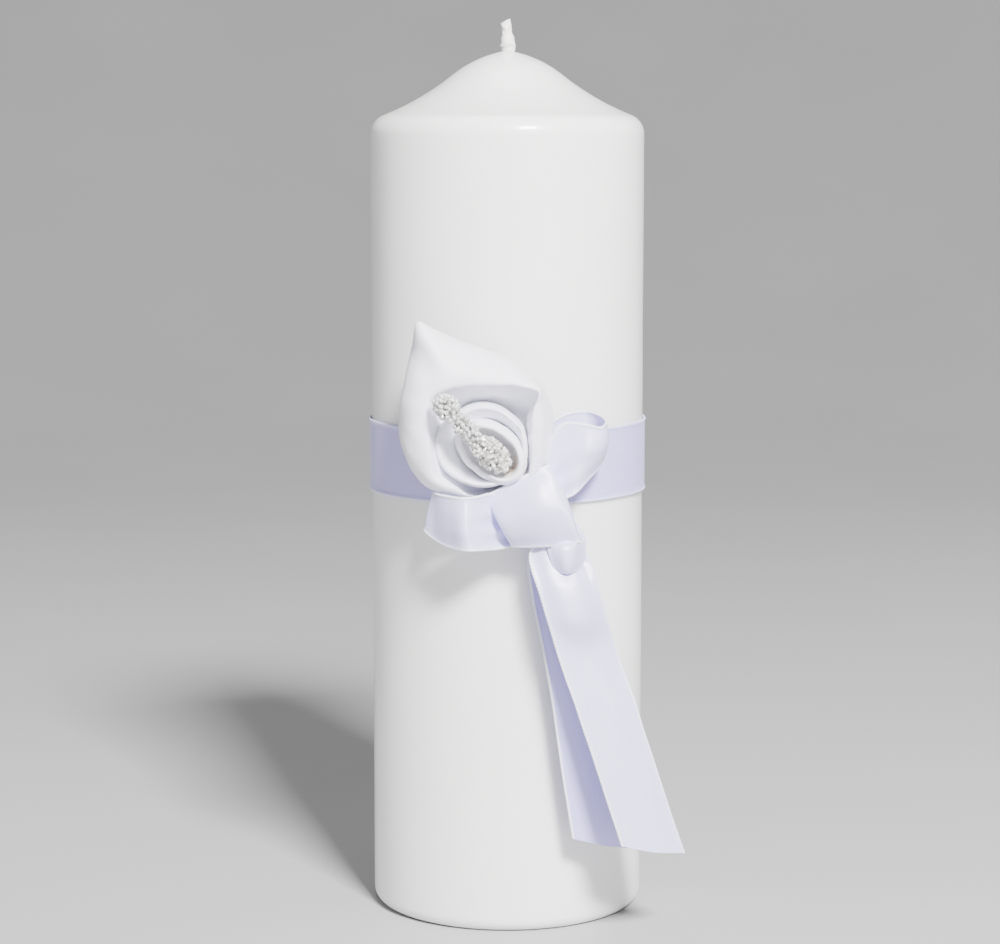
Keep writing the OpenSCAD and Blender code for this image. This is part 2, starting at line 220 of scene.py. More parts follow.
def ribbon(name, grid, width, material, edging):
    """A ribbon piece from its middle surface, with edging on its selvages."""
    verts, faces = shell(*ribbon_shell(grid, width))
    uv = weave_uv(grid)
    piece = new_object(name, verts, faces, material, np.vstack([uv, uv]))
    piece.data.materials.append(edging)
    strips, wide = grid.shape[0] - 1, grid.shape[1] - 1
    column = np.arange(wide)
    selvage = (column < SELVAGE_COLUMNS) | (column >= wide - SELVAGE_COLUMNS)
    # In the order that shell makes the faces: both sides of each strip, the ends, the edges
    slots = np.concatenate([np.repeat(np.tile(selvage, strips), 2), np.zeros(2 * wide), np.ones(2 * strips)])
    piece.data.polygons.foreach_set("material_index", slots.astype(np.int32))
    return piece


def ribbon_rows(length):
    """Fractions along a ribbon, close enough for the picots."""
    return np.linspace(0, 1, int(length / (PICOT_PITCH / 5)) + 2)


def join(name, parts):
    """Joins meshes into one piece."""
    bpy.ops.object.select_all(action="DESELECT")
    for part in parts:
        part.select_set(True)
    bpy.context.view_layer.objects.active = parts[0]
    bpy.ops.object.join()
    parts[0].name = name
    return parts[0]


# ---- materials ----

def material(name, **values):
    """A Principled material with its uniform values set on the sockets."""
    mat = bpy.data.materials.new(name)
    mat.use_nodes = True
    tree = mat.node_tree
    shader = tree.nodes["Principled BSDF"]
    for key, value in values.items():
        shader.inputs[key.replace("_", " ")].default_value = value
    return mat, tree, shader


def node(tree, kind, **values):
    """A node with its properties and its inputs by name."""
    made = tree.nodes.new(kind)
    for key, value in values.items():
        if hasattr(made, key):
            setattr(made, key, value)
        else:
            made.inputs[key.replace("_", " ")].default_value = value
    return made


def coordinates(tree, scale, weave=False):
    """Object or weave coordinates through a scaling Mapping node."""
    if weave:
        source = node(tree, "ShaderNodeUVMap", uv_map="weave").outputs["UV"]
    else:
        source = node(tree, "ShaderNodeTexCoord").outputs["Object"]
    mapping = node(tree, "ShaderNodeMapping")
    mapping.inputs["Scale"].default_value = scale
    tree.links.new(source, mapping.inputs["Vector"])
    return mapping.outputs["Vector"]


def noise_node(tree, vector, scale, detail=3.0, roughness=0.5):
    made = node(tree, "ShaderNodeTexNoise", Scale=scale, Detail=detail, Roughness=roughness)
    tree.links.new(vector, made.inputs["Vector"])
    return made.outputs["Fac"]


def ramp(tree, factor, stops):
    """Colour ramp: stops are (position, colour)."""
    made = node(tree, "ShaderNodeValToRGB")
    elements = made.color_ramp.elements
    while len(elements) < len(stops):
        elements.new(0.5)
    for element, (position, colour) in zip(elements, stops):
        element.position = position
        element.color = (*colour, 1)
    tree.links.new(factor, made.inputs["Fac"])
    return made.outputs["Color"]


def spread(tree, factor, low, high):
    """Maps 0..1 to low..high."""
    made = node(tree, "ShaderNodeMapRange")
    made.inputs["To Min"].default_value = low
    made.inputs["To Max"].default_value = high
    tree.links.new(factor, made.inputs["Value"])
    return made.outputs["Result"]


def bump(tree, shader, heights):
    """Chains bumps: heights are (height, strength, distance in metres)."""
    last = None
    for height, strength, distance in heights:
        made = node(tree, "ShaderNodeBump", Strength=strength, Distance=distance)
        tree.links.new(height, made.inputs["Height"])
        if last is not None:
            tree.links.new(last, made.inputs["Normal"])
        last = made.outputs["Normal"]
    tree.links.new(last, shader.inputs["Normal"])


def wax_material():
    mat, tree, shader = material(
        "wax_coat", Subsurface_Weight=0.75, Subsurface_Radius=(1.0, 0.92, 0.85),
        Subsurface_Scale=0.004, IOR=1.44, Coat_Weight=0.5, Coat_Roughness=0.07, Coat_IOR=1.45)
    fine = coordinates(tree, (1, 1, 1))
    cloudy = noise_node(tree, fine, 28, 4)
    tree.links.new(ramp(tree, cloudy, [(0.3, (0.86, 0.855, 0.85)), (0.7, (0.89, 0.885, 0.88))]),
                   shader.inputs["Base Color"])
    tree.links.new(spread(tree, noise_node(tree, fine, 60, 3), 0.27, 0.4), shader.inputs["Roughness"])
    runs = noise_node(tree, coordinates(tree, (1, 1, 0.06)), 110, 2)
    grain = noise_node(tree, fine, 900, 2)
    bump(tree, shader, [(runs, 0.1, 0.0006), (grain, 0.05, 0.0001)])
    return mat


def satin_material(name, low, high, roughness, sheen):
    """Satin ribbon: long warp floats with a soft highlight across them."""
    mat, tree, shader = material(
        name, Anisotropic=0.85, Sheen_Weight=sheen, Sheen_Roughness=0.4, IOR=1.6, Specular_IOR_Level=0.9,
        Subsurface_Weight=0.1, Subsurface_Radius=(1.0, 1.0, 1.0), Subsurface_Scale=0.001)
    tangent = node(tree, "ShaderNodeTangent", direction_type="UV_MAP", uv_map="weave")
    tree.links.new(tangent.outputs["Tangent"], shader.inputs["Tangent"])
    slub = noise_node(tree, coordinates(tree, (2.2, 0.12, 1), weave=True), 1.0, 3)
    tree.links.new(ramp(tree, slub, [(0.25, low), (0.75, high)]), shader.inputs["Base Color"])
    tree.links.new(spread(tree, slub, roughness - 0.05, roughness + 0.07), shader.inputs["Roughness"])
    floats = node(tree, "ShaderNodeTexWave", bands_direction="X", Scale=1.1, Distortion=0.6)
    tree.links.new(coordinates(tree, (1, 0.02, 1), weave=True), floats.inputs["Vector"])
    picks = node(tree, "ShaderNodeTexWave", bands_direction="Y", Scale=1.3, Distortion=2.0)
    tree.links.new(coordinates(tree, (0.8, 1, 1), weave=True), picks.inputs["Vector"])
    bump(tree, shader, [(slub, 0.08, 0.0002), (floats.outputs["Fac"], 0.03, 0.00003),
                        (picks.outputs["Fac"], 0.015, 0.00003)])
    return mat


def petal_material(name):
    """Soft satin, warmer and darker deep in the throat: the darkening is painted shade, and the warm tone is
    partly the satin's own colour.
    """
    mat, tree, shader = material(
        name, Sheen_Weight=0.35, Sheen_Roughness=0.5, IOR=1.48, Anisotropic=0.2,
        Subsurface_Weight=0.2, Subsurface_Radius=(1.0, 1.0, 1.0), Subsurface_Scale=0.0015)
    here = node(tree, "ShaderNodeTexCoord").outputs["Object"]
    # Painted shade: the colour darkens to a warm brown towards the throat, partly the satin's own warm tone.
    throat = node(tree, "ShaderNodeVectorMath", operation="DISTANCE")
    throat.inputs[1].default_value = ((FLOWER + THROAT_SHADE_CENTRE) * MM).tolist()
    tree.links.new(here, throat.inputs[0])
    deep = node(tree, "ShaderNodeMapRange", interpolation_type="SMOOTHSTEP")
    deep.inputs["From Min"].default_value = 0.0008
    deep.inputs["From Max"].default_value = 0.0042
    tree.links.new(throat.outputs["Value"], deep.inputs["Value"])
    tree.links.new(ramp(tree, deep.outputs["Result"],
                        [(0.0, (0.50, 0.33, 0.20)), (0.4, (0.74, 0.66, 0.56)), (1.0, (0.87, 0.87, 0.97))]),
                   shader.inputs["Base Color"])
    cloudy = noise_node(tree, coordinates(tree, (1, 1, 1)), 160, 3)
    tree.links.new(spread(tree, cloudy, 0.46, 0.6), shader.inputs["Roughness"])
    threads = node(tree, "ShaderNodeTexWave", bands_direction="DIAGONAL", Scale=1500, Distortion=0.6)
    tree.links.new(coordinates(tree, (1, 1, 1)), threads.inputs["Vector"])
    bump(tree, shader, [(cloudy, 0.15, 0.0004), (threads.outputs["Fac"], 0.06, 0.00004)])
    return mat


def wick_material():
    mat, tree, shader = material(
        "waxed_cotton", Subsurface_Weight=0.4, Subsurface_Radius=(1.0, 0.9, 0.8),
        Subsurface_Scale=0.001, Coat_Weight=0.3, Coat_Roughness=0.25)
    here = coordinates(tree, (1, 1, 1))
    blotch = noise_node(tree, here, 420, 3)
    tree.links.new(ramp(tree, blotch, [(0.3, (0.80, 0.77, 0.74)), (0.65, (0.90, 0.88, 0.87))]),
                   shader.inputs["Base Color"])
    tree.links.new(spread(tree, blotch, 0.35, 0.6), shader.inputs["Roughness"])
    bump(tree, shader, [(blotch, 0.4, 0.0002), (noise_node(tree, here, 2500, 2), 0.25, 0.00005)])
    return mat


def bead_material(name, low, high, transmission):
    """Glass seed beads, clear in places and milky in others, under a rough bright coat."""
    mat, tree, shader = material(
        name, IOR=1.6, Subsurface_Weight=0.6, Subsurface_Scale=0.0015,
        Subsurface_Radius=(1.0, 1.0, 1.0), Coat_Weight=1.0, Coat_Roughness=0.27, Coat_IOR=1.9)
    tint = noise_node(tree, coordinates(tree, (1, 1, 1)), 330, 2)
    tree.links.new(ramp(tree, tint, [(0.35, low), (0.65, high)]), shader.inputs["Base Color"])
    tree.links.new(spread(tree, tint, 0.08, 0.28), shader.inputs["Roughness"])
    clear = node(tree, "ShaderNodeMapRange", **{"From_Min": 0.35, "From_Max": 0.65})
    clear.inputs["To Min"].default_value = transmission - 0.35
    clear.inputs["To Max"].default_value = transmission + 0.35
    tree.links.new(noise_node(tree, coordinates(tree, (1, 1, 1)), 700, 1), clear.inputs["Value"])
    tree.links.new(clear.outputs["Result"], shader.inputs["Transmission Weight"])
    bump(tree, shader, [(tint, 0.1, 0.0001)])
    return mat


def plain_material(name, low, high, roughness, metallic=0.0, grain=700):
    """Small inner pieces: a grained colour with its own roughness and bump."""
    mat, tree, shader = material(name, Metallic=metallic)
    fac = noise_node(tree, coordinates(tree, (1, 1, 1)), grain, 3)
    tree.links.new(ramp(tree, fac, [(0.3, low), (0.7, high)]), shader.inputs["Base Color"])
    tree.links.new(spread(tree, fac, roughness - 0.06, roughness + 0.08), shader.inputs["Roughness"])
    bump(tree, shader, [(fac, 0.3, 0.0001)])
    return mat


# ---- pillar and wick ----

def bend(start, radius, a0, a1, steps):
    """Arc in [radius, height] along the top of the wax. a0 and a1 are slopes in degrees."""
    turn = 1 if a1 > a0 else -1
    found = []
    for i in range(steps + 1):
        a = math.radians(a0 + (a1 - a0) * i / steps)
        b = math.radians(a0)
        found.append((start[0] + turn * radius * (math.sin(b) - math.sin(a)),
                      start[1] + turn * radius * (math.cos(b) - math.cos(a))))
    return found


def pillar_profile():
    """Outline of the pillar from the middle of the base to the wick."""
    bottom = [(r, 0.0) for r in (0.0, 6.0, 14.0, 22.0, 29.0)]
    bottom += [(PILLAR_R - BASE_R + BASE_R * math.sin(a), BASE_R - BASE_R * math.cos(a))
               for a in np.linspace(0, math.pi / 2, 12)]
    wall = [(PILLAR_R, z) for z in np.linspace(BASE_R, WALL_H, 60)[1:]]
    shoulder = bend((PILLAR_R, WALL_H), SHOULDER_R, 90, FLANK_LOW, 16)[1:]
    flank = bend(shoulder[-1], FLANK_R, FLANK_LOW, FLANK_HIGH, 20)[1:]
    crown = bend(flank[-1], CROWN_R, FLANK_HIGH, CROWN_END, 16)[1:]
    r, z = crown[-1]
    # The wax creeps up the wick in a small meniscus
    creep = [(r - 1.5, z + 0.42), (r - 2.9, z + 0.95), (2.15, z + 1.75), (1.8, z + 2.4), (1.62, z + 2.9),
             (0.8, z + 3.0), (0.0, z + 3.0)]
    creep = [c for c in creep if c[0] < r]
    return bottom + wall + shoulder + flank + crown + creep


def make_pillar(mat):
    """Lathed pillar with the slight unevenness of overdipped wax."""
    profile = pillar_profile()
    sides = 192
    verts = [(0.0, 0.0, profile[0][1])]
    for r, z in profile[1:-1]:
        for k in range(sides):
            a = 2 * math.pi * k / sides
            c, s = math.cos(a), math.sin(a)
            uneven = noise.noise(Vector((c * 1.1, s * 1.1, z * 0.02))) * 0.10
            uneven += noise.noise(Vector((c * 4, s * 4, z * 0.06))) * 0.035
            uneven *= min(1, max(0, r / 12)) * min(1, z / 4)
            rr = r + uneven
            verts.append((rr * c, rr * s, z))
    verts.append((0.0, 0.0, profile[-1][1]))
    rings = len(profile) - 2
    top = 1 + (rings - 1) * sides
    faces = ring_faces(rings, sides, first=1)
    for k in range(sides):
        faces.append((0, 1 + (k + 1) % sides, 1 + k))
        faces.append((top + k, top + (k + 1) % sides, len(verts) - 1))
    return new_object("wax_pillar", verts, faces, mat)


def make_wick(mat):
    """Braided wick: waxed and thick at its foot, slanted cut at its top."""
    stations = [(-4.2, 1.45), (-2.2, 1.62), (-1.2, 1.82), (-0.4, 1.88), (0.7, 1.86), (1.7, 1.78),
                (2.35, 1.6), (2.8, 1.36), (3.6, 1.3), (5.0, 1.3), (5.6, 1.28), (6.0, 1.3), (6.3, 1.24)]
    heights = np.linspace(stations[0][0], stations[-1][0], 74)
    radii = np.interp(heights, [s[0] for s in stations], [s[1] for s in stations])
    sides = 36
    verts = []
    for h, r in zip(heights, radii):
        lean = -0.085 * max(0, h) - 0.004 * max(0, h) ** 2
        bare = min(1, max(0, (h - 1.6) / 1.6))
        for k in range(sides):
            a = 2 * math.pi * k / sides
            braid = 0.09 * bare * math.cos(3 * (a + h * 0.9)) + 0.05 * bare * math.cos(3 * (a - h * 1.1))
            lump = 0.10 * noise.noise(Vector((math.cos(a) * 0.9, math.sin(a) * 0.9, h * 0.55)))
            rr = r + braid + lump
            slant = 0.55 * math.cos(a) * max(0, h - 4.8) / 1.5
            verts.append((0.25 + lean + rr * math.cos(a), rr * math.sin(a), WICK_PIVOT_Z + h + slant))
    n = len(heights)
    verts += [(0.25, 0, WICK_PIVOT_Z + heights[0])]
    top_x = sum(v[0] for v in verts[(n - 1) * sides:n * sides]) / sides
    verts += [(top_x, 0, WICK_PIVOT_Z + heights[-1] + 0.12)]
    faces = ring_faces(n, sides)
    for k in range(sides):
        faces.append((n * sides, (k + 1) % sides, k))
        faces.append((n * sides + 1, (n - 1) * sides + k, (n - 1) * sides + (k + 1) % sides))
    return new_object("wick", verts, faces, mat)


# ---- ribbon pieces ----

BAND_Z = 114.0
BAND_R = 37.0
LAP_FROM, LAP_TO = 72.0, 108.0


def band_grid():
    """Once round the pillar, starting and ending in a lap at the back."""
    total = 360 + LAP_TO - LAP_FROM
    length = math.radians(total) * BAND_R
    along = ribbon_rows(length)
    across = across_fractions(RIBBON_W)
    grid = np.zeros((len(along), len(across), 3))
    for i, s in enumerate(along):
        turn = total * s
        a = math.radians(LAP_TO + turn - (LAP_TO - LAP_FROM))
        over = min(1, max(0, (turn - 354) / 8))
        over = over * over * (3 - 2 * over)
        for j, t in enumerate(across):
            flare = 0.22 * max(0, (abs(t - 0.5) - 0.38) / 0.12) ** 2
            wave = 0.10 * noise.noise(Vector((math.cos(a) * 3, math.sin(a) * 3, t * 2)))
            r = BAND_R + 0.78 * over + flare * 0.5 + wave
            sag = 0.25 * noise.noise(Vector((math.cos(a) * 1.4, math.sin(a) * 1.4, 7)))
            grid[i, j] = (r * math.cos(a), r * math.sin(a), BAND_Z + RIBBON_W * t + sag)
    return grid, length


# Control rows of each ribbon piece, in millimetres. A row runs across the ribbon.
LOOP_RIGHT = [
    [(7, -44.6, 123), (8, -45.2, 118.5), (9, -44.6, 114.5)],
    [(10.5, -45.2, 131), (12, -46, 124), (13, -45.2, 116.0)],
    [(14, -45.4, 136.0), (16, -46.8, 127), (17, -45.2, 117.8)],
    [(19.3, -46.2, 136.1), (20.6, -46.4, 129), (20.6, -41.8, 121.2)],
    [(23.6, -45.2, 135.1), (24.7, -43.4, 130.4), (23.8, -37.2, 124.2)],
    [(25.1, -43, 136.1), (25.9, -40.2, 131.5), (25, -34.2, 126.2)],
    [(24.1, -39.8, 137.3), (24.6, -36.8, 132.0), (23.5, -32.6, 126.4)],
    [(20, -36.4, 138.3), (20.5, -36.2, 131), (20, -36.6, 124)],
    [(15, -38.0, 137.7), (15, -38.0, 130), (14.5, -38.2, 122)],
    [(10.5, -39.4, 134.5), (10, -39.8, 128), (10, -39.8, 120)],
    [(8, -40.6, 124), (7.5, -40.9, 119), (7, -40.6, 115)],
]
LOOP_LEFT = [
    [(1, -44.5, 117.4), (1, -44.4, 112), (1.4, -43.8, 104.4)],
    [(-4.5, -49.0, 118.7), (-4.2, -48.6, 111.5), (-3.2, -47.4, 103.9)],
    [(-8, -51.6, 118.2), (-7.8, -51.8, 110.8), (-7.0, -51.2, 104.2)],
    [(-11.4, -52.4, 118.0), (-11, -53.4, 110.8), (-10.6, -52.2, 104.3)],
    [(-15, -50.4, 118.2), (-15, -50, 111), (-14.8, -48.8, 104.6)],
    [(-17.8, -47.8, 118.4), (-18.4, -46.0, 111.8), (-18.6, -44.8, 106.1)],
    [(-19.0, -44.8, 118.6), (-20.4, -43.6, 113), (-21.2, -42.6, 108.3)],
    [(-16.5, -45.6, 120.2), (-18, -42.6, 115), (-19.6, -41.6, 109.6)],
    [(-12.5, -45.4, 120.0), (-13, -42, 115), (-14, -41, 108.6)],
    [(-6, -43.8, 119), (-7, -41.8, 114), (-8, -41.4, 107.6)],
    [(0, -42.8, 118), (0, -42.4, 113.5), (-0.5, -42.2, 107.6)],
]
WRAP = [
    [(-3.4, -43.6, 116.6), (-1.2, -44.0, 113.6), (0.6, -44.2, 110.6),
     (2.0, -43.8, 107.8), (3.2, -43.2, 105.6)],
    [(-5.6, -47.4, 117.7), (-3.9, -49.6, 114.4), (-2.2, -50.4, 111.1),
     (-0.5, -49.2, 107.8), (1.2, -46.6, 104.7)],
    [(-1.6, -48.6, 120.0), (0.6, -51.2, 116.8), (2.4, -52.2, 113.0),
     (3.6, -50.8, 108.9), (4.8, -47.8, 104.6)],
    [(2.6, -49.0, 122.3), (4.8, -52.0, 118.5), (6.8, -52.9, 114.4),
     (8.0, -51.4, 109.8), (8.8, -48.4, 104.8)],
    [(6.5, -48.7, 124.2), (9.2, -51.4, 120.0), (11.2, -52.3, 115.4),
     (12.4, -51.0, 110.4), (13.4, -48.4, 105.0)],
    [(10.1, -47.4, 125.6), (13.2, -49.8, 121.0), (15.1, -50.6, 116.2),
     (16.7, -49.8, 110.8), (18.2, -47.6, 105.8)],
    [(10.2, -44.6, 124.8), (13.4, -45.2, 120.2), (15.2, -45.6, 115.8),
     (16.8, -45.4, 110.8), (17.8, -44.6, 106.6)],
]
TUCK = [
    [(9.2, -45.4, 106.8), (14.4, -47.6, 107.4), (19.2, -44.4, 108.0)],
    [(9.8, -47.1, 105.0), (15.0, -50.4, 105.3), (19.7, -44.6, 105.8)],
    [(10.4, -47.8, 102.8), (15.0, -51.2, 102.9), (19.7, -44.2, 103.3)],
    [(11.0, -48.1, 100.8), (15.1, -51.0, 100.6), (19.5, -44.2, 101.0)],
    [(11.8, -48.4, 99.2), (15.1, -50.2, 98.9), (18.8, -45.0, 99.2)],
    [(13.0, -48.5, 98.2), (15.3, -49.2, 98.0), (17.6, -46.8, 98.2)],
]
SLIVER = [
    [(2, -43.6, 118.5), (4, -44.0, 112), (6, -43.6, 105.5)],
    [(8, -44.0, 117.5), (9.4, -44.4, 111.5), (11, -44.0, 105.5)],
    [(12.6, -44.6, 115.4), (13.6, -45.0, 110.5), (14.4, -44.8, 105.8)],
    [(15.2, -46.6, 112.8), (16, -46.8, 110), (16.4, -46.6, 106.4)],
    [(17.6, -47, 110.4), (17.8, -47, 108.6), (17.6, -46.6, 106.4)],
    [(19.1, -46.2, 108.2), (19.1, -46.1, 107.3), (18.8, -45.8, 106.2)],
]
TAIL_FRONT = [
    [(7.0, -46.2, 106.5), (11.5, -46.8, 107), (16.2, -45.6, 107.6)],
    [(5.5, -46.6, 102.6), (11.6, -46.6, 104), (18.8, -43.2, 105.2)],
    [(6.0, -47.6, 98.8), (13, -47.9, 100.0), (20.9, -41.6, 100.8)],
    [(7.8, -49.6, 93.6), (15.2, -50.6, 94.2), (22.9, -43.6, 94.6)],
    [(9.8, -50.8, 87.0), (17.4, -51.6, 87.2), (25.2, -43.0, 87.0)],
    [(12.8, -50.2, 77.0), (20.6, -46.4, 77.0), (28.2, -39.6, 76.6)],
    [(18.0, -51.6, 62.0), (26.2, -48, 61.8), (33.6, -41.6, 61.2)],
    [(23.6, -52.2, 45.0), (31.8, -48.6, 44.2), (39.2, -42.2, 43.4)],
    [(29.2, -51.6, 27.6), (37.6, -48, 25.0), (46.2, -41.8, 23.1)],
]
TAIL_REAR = [
    [(6.4, -43.4, 105), (11.5, -43.2, 105), (16.4, -41.8, 105)],
    [(5.2, -43.6, 100.2), (12, -42.4, 100.6), (19.6, -37.6, 101)],
    [(6.4, -43.6, 90.0), (13.6, -41.6, 89.6), (21.6, -35.4, 89)],
    [(9.2, -43, 76.0), (16.4, -41, 75.4), (23.8, -34.8, 74.6)],
    [(11.6, -42.4, 62.0), (19, -40.4, 61.2), (26.4, -34.4, 60)],
    [(14.0, -41.8, 45.0), (21.4, -39.8, 44), (28.8, -34, 42.6)],
    [(16.9, -41.2, 26.8), (24.6, -39.2, 24.5), (31.6, -33.4, 22.2)],
]


def make_net_ribbon(name, rows, mat, width, edge, ruck=0.0, seed=1.0, gather=None, both_ends=False,
                    crease=None):
    """A ribbon piece from its control rows, and its length.

    ruck is the height of its unevenness, and seed picks its pattern. gather is the height and reach
    of the pleats at its first row, and at its last too for both_ends. crease is the place across,
    the depth and the reach of a valley that starts at its first row.
    """
    rough = net(rows, np.linspace(0, 1, 40), [0.0, 0.5, 1.0])
    length = float(np.linalg.norm(np.diff(rough[:, 1], axis=0), axis=1).sum())
    along = ribbon_rows(length)
    across = across_fractions(width)
    grid = net(rows, along, across)
    if ruck:
        grid = rumple(grid, ruck, 9.0, seed)
    if gather:
        height, reach = gather
        fade = np.exp(-along * length / reach)[:, None]
        if both_ends:
            fade = fade + np.exp(-(1 - along) * length / reach)[:, None]
        pleats = np.sin(across * 2 * math.pi * 3.0 + seed)[None, :] * fade * height
        grid = grid + normals(grid) * pleats[:, :, None]
    if crease:
        place, deep, reach = crease
        narrow = np.exp(-((across - place) / 0.045) ** 2)[None, :]
        fades = np.exp(-(along * length / reach) ** 4)[:, None]
        grid = grid + np.array([0.0, deep, 0.0]) * (narrow * fades)[:, :, None]
    return ribbon(name, grid, width, mat, edge), length


# ---- flower ----

# Outline of the spathe and crests of the three petals, as (x, z) round the flower's centre
OUTLINE = [(-15.4, 27.4), (-16.2, 22.3), (-17.2, 17.1), (-18.7, 10.7), (-19.9, 4.4), (-20.0, -2.0),
           (-18.9, -7.1), (-16.6, -11.5), (-13.6, -15.0), (-10.0, -17.2), (-4, -18.6), (2, -18.8),
           (8, -17.6), (13.6, -14.6), (17.4, -10), (19.0, -4.5), (18.9, 1.5), (18.0, 6.4), (16.6, 9.6),
           (13.8, 12.7), (10.6, 15.3), (6.8, 17.6), (1.8, 19.4), (-4.5, 21.1), (-10.3, 24.1)]
CREST = [(15.6, 9.6), (14.2, 6.4), (13.4, 2.6), (13.1, -2.5), (13.3, -7.0), (12.8, -12.6), (7.5, -16.6),
         (1, -17.6), (-3.2, -17.0), (-6.3, -15.2), (-8.6, -14.2), (-11.0, -12.6), (-12.0, -7.5),
         (-12.5, -2.5), (-12.8, 1.0),
         (-13.0, 4.2), (-12.4, 7.6), (-10.5, 9.3), (-8.2, 10.3), (-4.4, 11.0), (0.6, 11.3), (5.6, 11.3),
         (10.6, 11.1)]
MIDDLE_CREST = [(-11.2, -2.2), (-10.6, -7.0), (-8.2, -11.4), (-3.3, -14.2), (0.8, -15.0), (5.6, -14.2),
                (9.8, -12.0), (12.0, -8.3), (12.4, -4.2), (11.3, -0.2), (8.4, 3.4), (4.8, 5.6), (0.8, 6.2),
                (-4.0, 4.7), (-8.3, 1.9)]
INNER_CREST = [(-4.9, -2.3), (-3.6, -6.1), (-0.7, -9.7), (3.3, -12.2), (6.8, -13.3), (9.8, -12.0),
               (11.0, -9.2), (10.3, -5.5), (8.0, -2.2), (5.2, -0.2), (2.3, 0.9), (-1.5, 0.9), (-4.0, -0.5)]
TIP = 120.0


def polar(points, centre, degrees):
    """Distance of a closed outline from centre in each direction."""
    found = []
    for x, z in points:
        dx, dz = x - centre[0], z - centre[1]
        found.append((math.degrees(math.atan2(dz, dx)) % 360, math.hypot(dx, dz)))
    found.sort()
    angles = [found[-1][0] - 360] + [f[0] for f in found] + [found[0][0] + 360]
    radii = [found[-1][1]] + [f[1] for f in found] + [found[0][1]]
    return np.interp(degrees, angles, radii)


def smooth_ring(values, passes):
    """Rounds a closed list of values a little."""
    v = np.array(values, float)
    for _ in range(passes):
        v = (np.roll(v, 1, axis=0) + 2 * v + np.roll(v, -1, axis=0)) / 4
    return v


def cup_grid(crest, centre, depth, floor, edge, edge_y, steps, inner, outer, belly=0.55, wall=0.0,
             climb=1.25):
    """Rings of a petal: from the throat up to its crest, and then rolled over to its edge.

    crest, depth, edge and edge_y hold one value for each direction round the centre. Where wall
    is 1, the roll is short and then falls straight to the edge. inner and outer are the numbers
    of rings on each side of the crest. A low belly widens the cup early, and climb is how late it
    comes forward.
    """
    rings = []
    wall = np.broadcast_to(wall, crest.shape)
    throat = THROAT[[0, 2]]
    angles = np.linspace(0, 2 * math.pi, steps, endpoint=False)
    ray = np.stack([np.cos(angles), np.sin(angles)], axis=1)
    rim = centre + ray * crest[:, None]
    least = 1.6
    for u in np.linspace(0, 1, inner):
        share = u ** belly
        start = throat + ray * least
        at = start * (1 - share) + rim * share
        y = floor * (1 - u ** climb) + depth * u ** climb
        rings.append(np.stack([at[:, 0], y, at[:, 1]], axis=1))
    out = centre + ray * edge[:, None]
    for v in np.linspace(0, 1, outer)[1:]:
        q = v * math.pi / 2
        r = min(1.0, v / 0.45) * math.pi / 2
        fall = max(0.0, (v - 0.45) / 0.55)
        share = math.sin(q) * (1 - wall) + (0.5 * math.sin(r) + 0.5 * fall) * wall
        drop = (1 - math.cos(q)) * (1 - wall) + (0.12 * (1 - math.cos(r)) + 0.88 * fall) * wall
        at = rim * (1 - share[:, None]) + out * share[:, None]
        y = depth * (1 - drop) + edge_y * drop
        rings.append(np.stack([at[:, 0], y, at[:, 1]], axis=1))
    return np.array(rings)


def soften(grid, passes):
    """Relaxes a ring grid, keeping its throat and its outer edge."""
    g = grid.copy()
    for _ in range(passes):
        mean = (np.roll(g, 1, axis=1) + np.roll(g, -1, axis=1) + np.roll(g, 1, axis=0)
                + np.roll(g, -1, axis=0)) / 4
        g[1:-1] = 0.5 * g[1:-1] + 0.5 * mean[1:-1]
    return g


def make_petal(name, grid, mat, thickness=0.4):
    """Closed shell round a ring grid, moved to the flower's place."""
    grid = rumple(grid + FLOWER, 0.35, 5.0, len(name))
    n = normals(grid, closed=True)
    verts, faces = shell(grid + n * thickness / 2, grid - n * thickness / 2, closed=True)
    uv = weave_uv(grid)
    return new_object(name, verts, faces, mat, np.vstack([uv, uv]))


def directions(steps):
    return np.linspace(0, 360, steps, endpoint=False)


def facing(degrees, towards):
    return np.cos(np.radians(degrees - towards))


def spathe_grid():
    steps = 240
    degrees = directions(steps)
    centre = np.array([0.0, 0.0])
    crest = smooth_ring(polar(CREST, centre, degrees), 3)
    outline = polar(OUTLINE, centre, degrees)
    near_tip = np.exp(-(((degrees - TIP) / 7) ** 2))
    edge = outline * near_tip + smooth_ring(outline, 14) * (1 - near_tip)
    # The margin lies lower where the bow covers it
    low = np.exp(-(((degrees - 275) / 42) ** 2))
    depth = -52.4 - 1.2 * facing(degrees, 105) + 5.2 * low
    edge_y = -43.4 - 3.4 * near_tip - 0.6 * facing(degrees, 110)
    right = np.exp(-((((degrees + 180) % 360 - 172) / 34) ** 2))
    grid = cup_grid(crest, centre, depth, -41.2, edge, edge_y, steps, 34, 26, 0.38, right, 1.5)
    return soften(grid, 2)


def middle_grid():
    steps = 180
    degrees = directions(steps)
    centre = np.array([1.0, -4.0])
    crest = smooth_ring(polar(MIDDLE_CREST, centre, degrees), 6)
    depth = -50.2 - 0.9 * facing(degrees, 30)
    grid = cup_grid(crest - 0.9, centre, depth, -42.3, crest + 0.1, depth + 4.6, steps, 22, 14, 0.6)
    return soften(grid, 2)


def inner_grid():
    steps = 180
    degrees = directions(steps)
    centre = np.array([3.2, -5.6])
    crest = smooth_ring(polar(INNER_CREST, centre, degrees), 6)
    depth = -51.2 - 0.7 * facing(degrees, 0)
    grid = cup_grid(crest - 0.5, centre, depth, -43.2, crest + 1.1, depth + 4.2, steps, 22, 14, 0.55)
    return soften(grid, 2)


# ---- beads ----

BEAD_R = 0.56
BEAD_HOLE_R = 0.17
BEAD_LENGTH = 3.0
BEAD_SPACING = 1.9
MOST_TRIES = 9000

